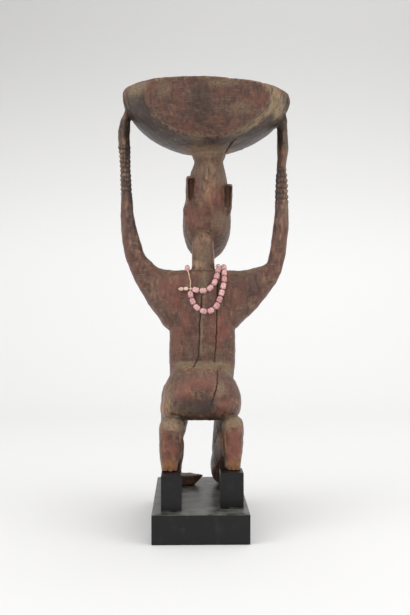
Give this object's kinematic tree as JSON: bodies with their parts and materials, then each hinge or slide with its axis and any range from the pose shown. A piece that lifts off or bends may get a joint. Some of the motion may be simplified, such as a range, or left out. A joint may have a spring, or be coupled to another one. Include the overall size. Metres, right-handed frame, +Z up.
{
  "type": "luba bowl bearer",
  "caption": "Carved wooden figure that kneels and holds a bowl on its head with both hands, with a glass bead necklace, on a black rectangular base with two foot posts.",
  "frame": {"origin": "centre of the base's underside, on the surface it stands on", "axes": "+Z up; the figure faces -Y, its left side is +X; the picture looks along -Y at its back"},
  "size_m": [0.2224, 0.227, 0.557],
  "materials": {
    "carved_wood": "dark hand-carved wood with a worn red-brown patina",
    "black_wood": "black satin paint",
    "rose_glass": "opaque pale rose glass",
    "cream_glass": "opaque cream glass",
    "cotton_string": "twisted natural cotton"
  },
  "bodies": {
    "root": {"base": "black_wood", "bead_inner_01": "rose_glass", "bead_inner_02": "rose_glass", "bead_inner_03": "rose_glass", "bead_inner_04": "rose_glass", "bead_inner_05": "rose_glass", "bead_inner_06": "rose_glass", "bead_inner_07": "rose_glass", "bead_inner_08": "rose_glass", "bead_inner_09": "rose_glass", "bead_inner_10": "rose_glass", "bead_inner_11": "rose_glass", "bead_inner_12": "rose_glass", "bead_inner_13": "rose_glass", "bead_inner_14": "rose_glass", "bead_inner_15": "rose_glass", "bead_outer_01": "rose_glass", "bead_outer_02": "rose_glass", "bead_outer_03": "rose_glass", "bead_outer_04": "rose_glass", "bead_outer_05": "rose_glass", "bead_outer_06": "rose_glass", "bead_outer_07": "rose_glass", "bead_outer_08": "rose_glass", "bead_outer_09": "rose_glass", "bead_outer_10": "rose_glass", "bead_outer_11": "rose_glass", "bead_outer_12": "rose_glass", "bead_outer_13": "rose_glass", "bead_outer_14": "rose_glass", "bead_outer_15": "rose_glass", "bead_outer_16": "rose_glass", "bead_outer_17": "rose_glass", "bead_outer_18": "rose_glass", "bead_outer_19": "rose_glass", "bead_outer_20": "rose_glass", "bead_outer_21": "rose_glass", "bead_outer_22": "rose_glass", "bead_outer_23": "rose_glass", "bead_outer_24": "rose_glass", "bead_shoulder": "cream_glass", "bead_tail_1": "cream_glass", "bead_tail_2": "cream_glass", "figure": "carved_wood", "knot_back": "cotton_string", "knot_front": "cotton_string", "left_foot_post": "black_wood", "right_foot_post": "black_wood", "string_inner": "cotton_string", "string_outer": "cotton_string", "string_shoulder": "cotton_string", "string_tail": "cotton_string"}
  },
  "joints": []
}
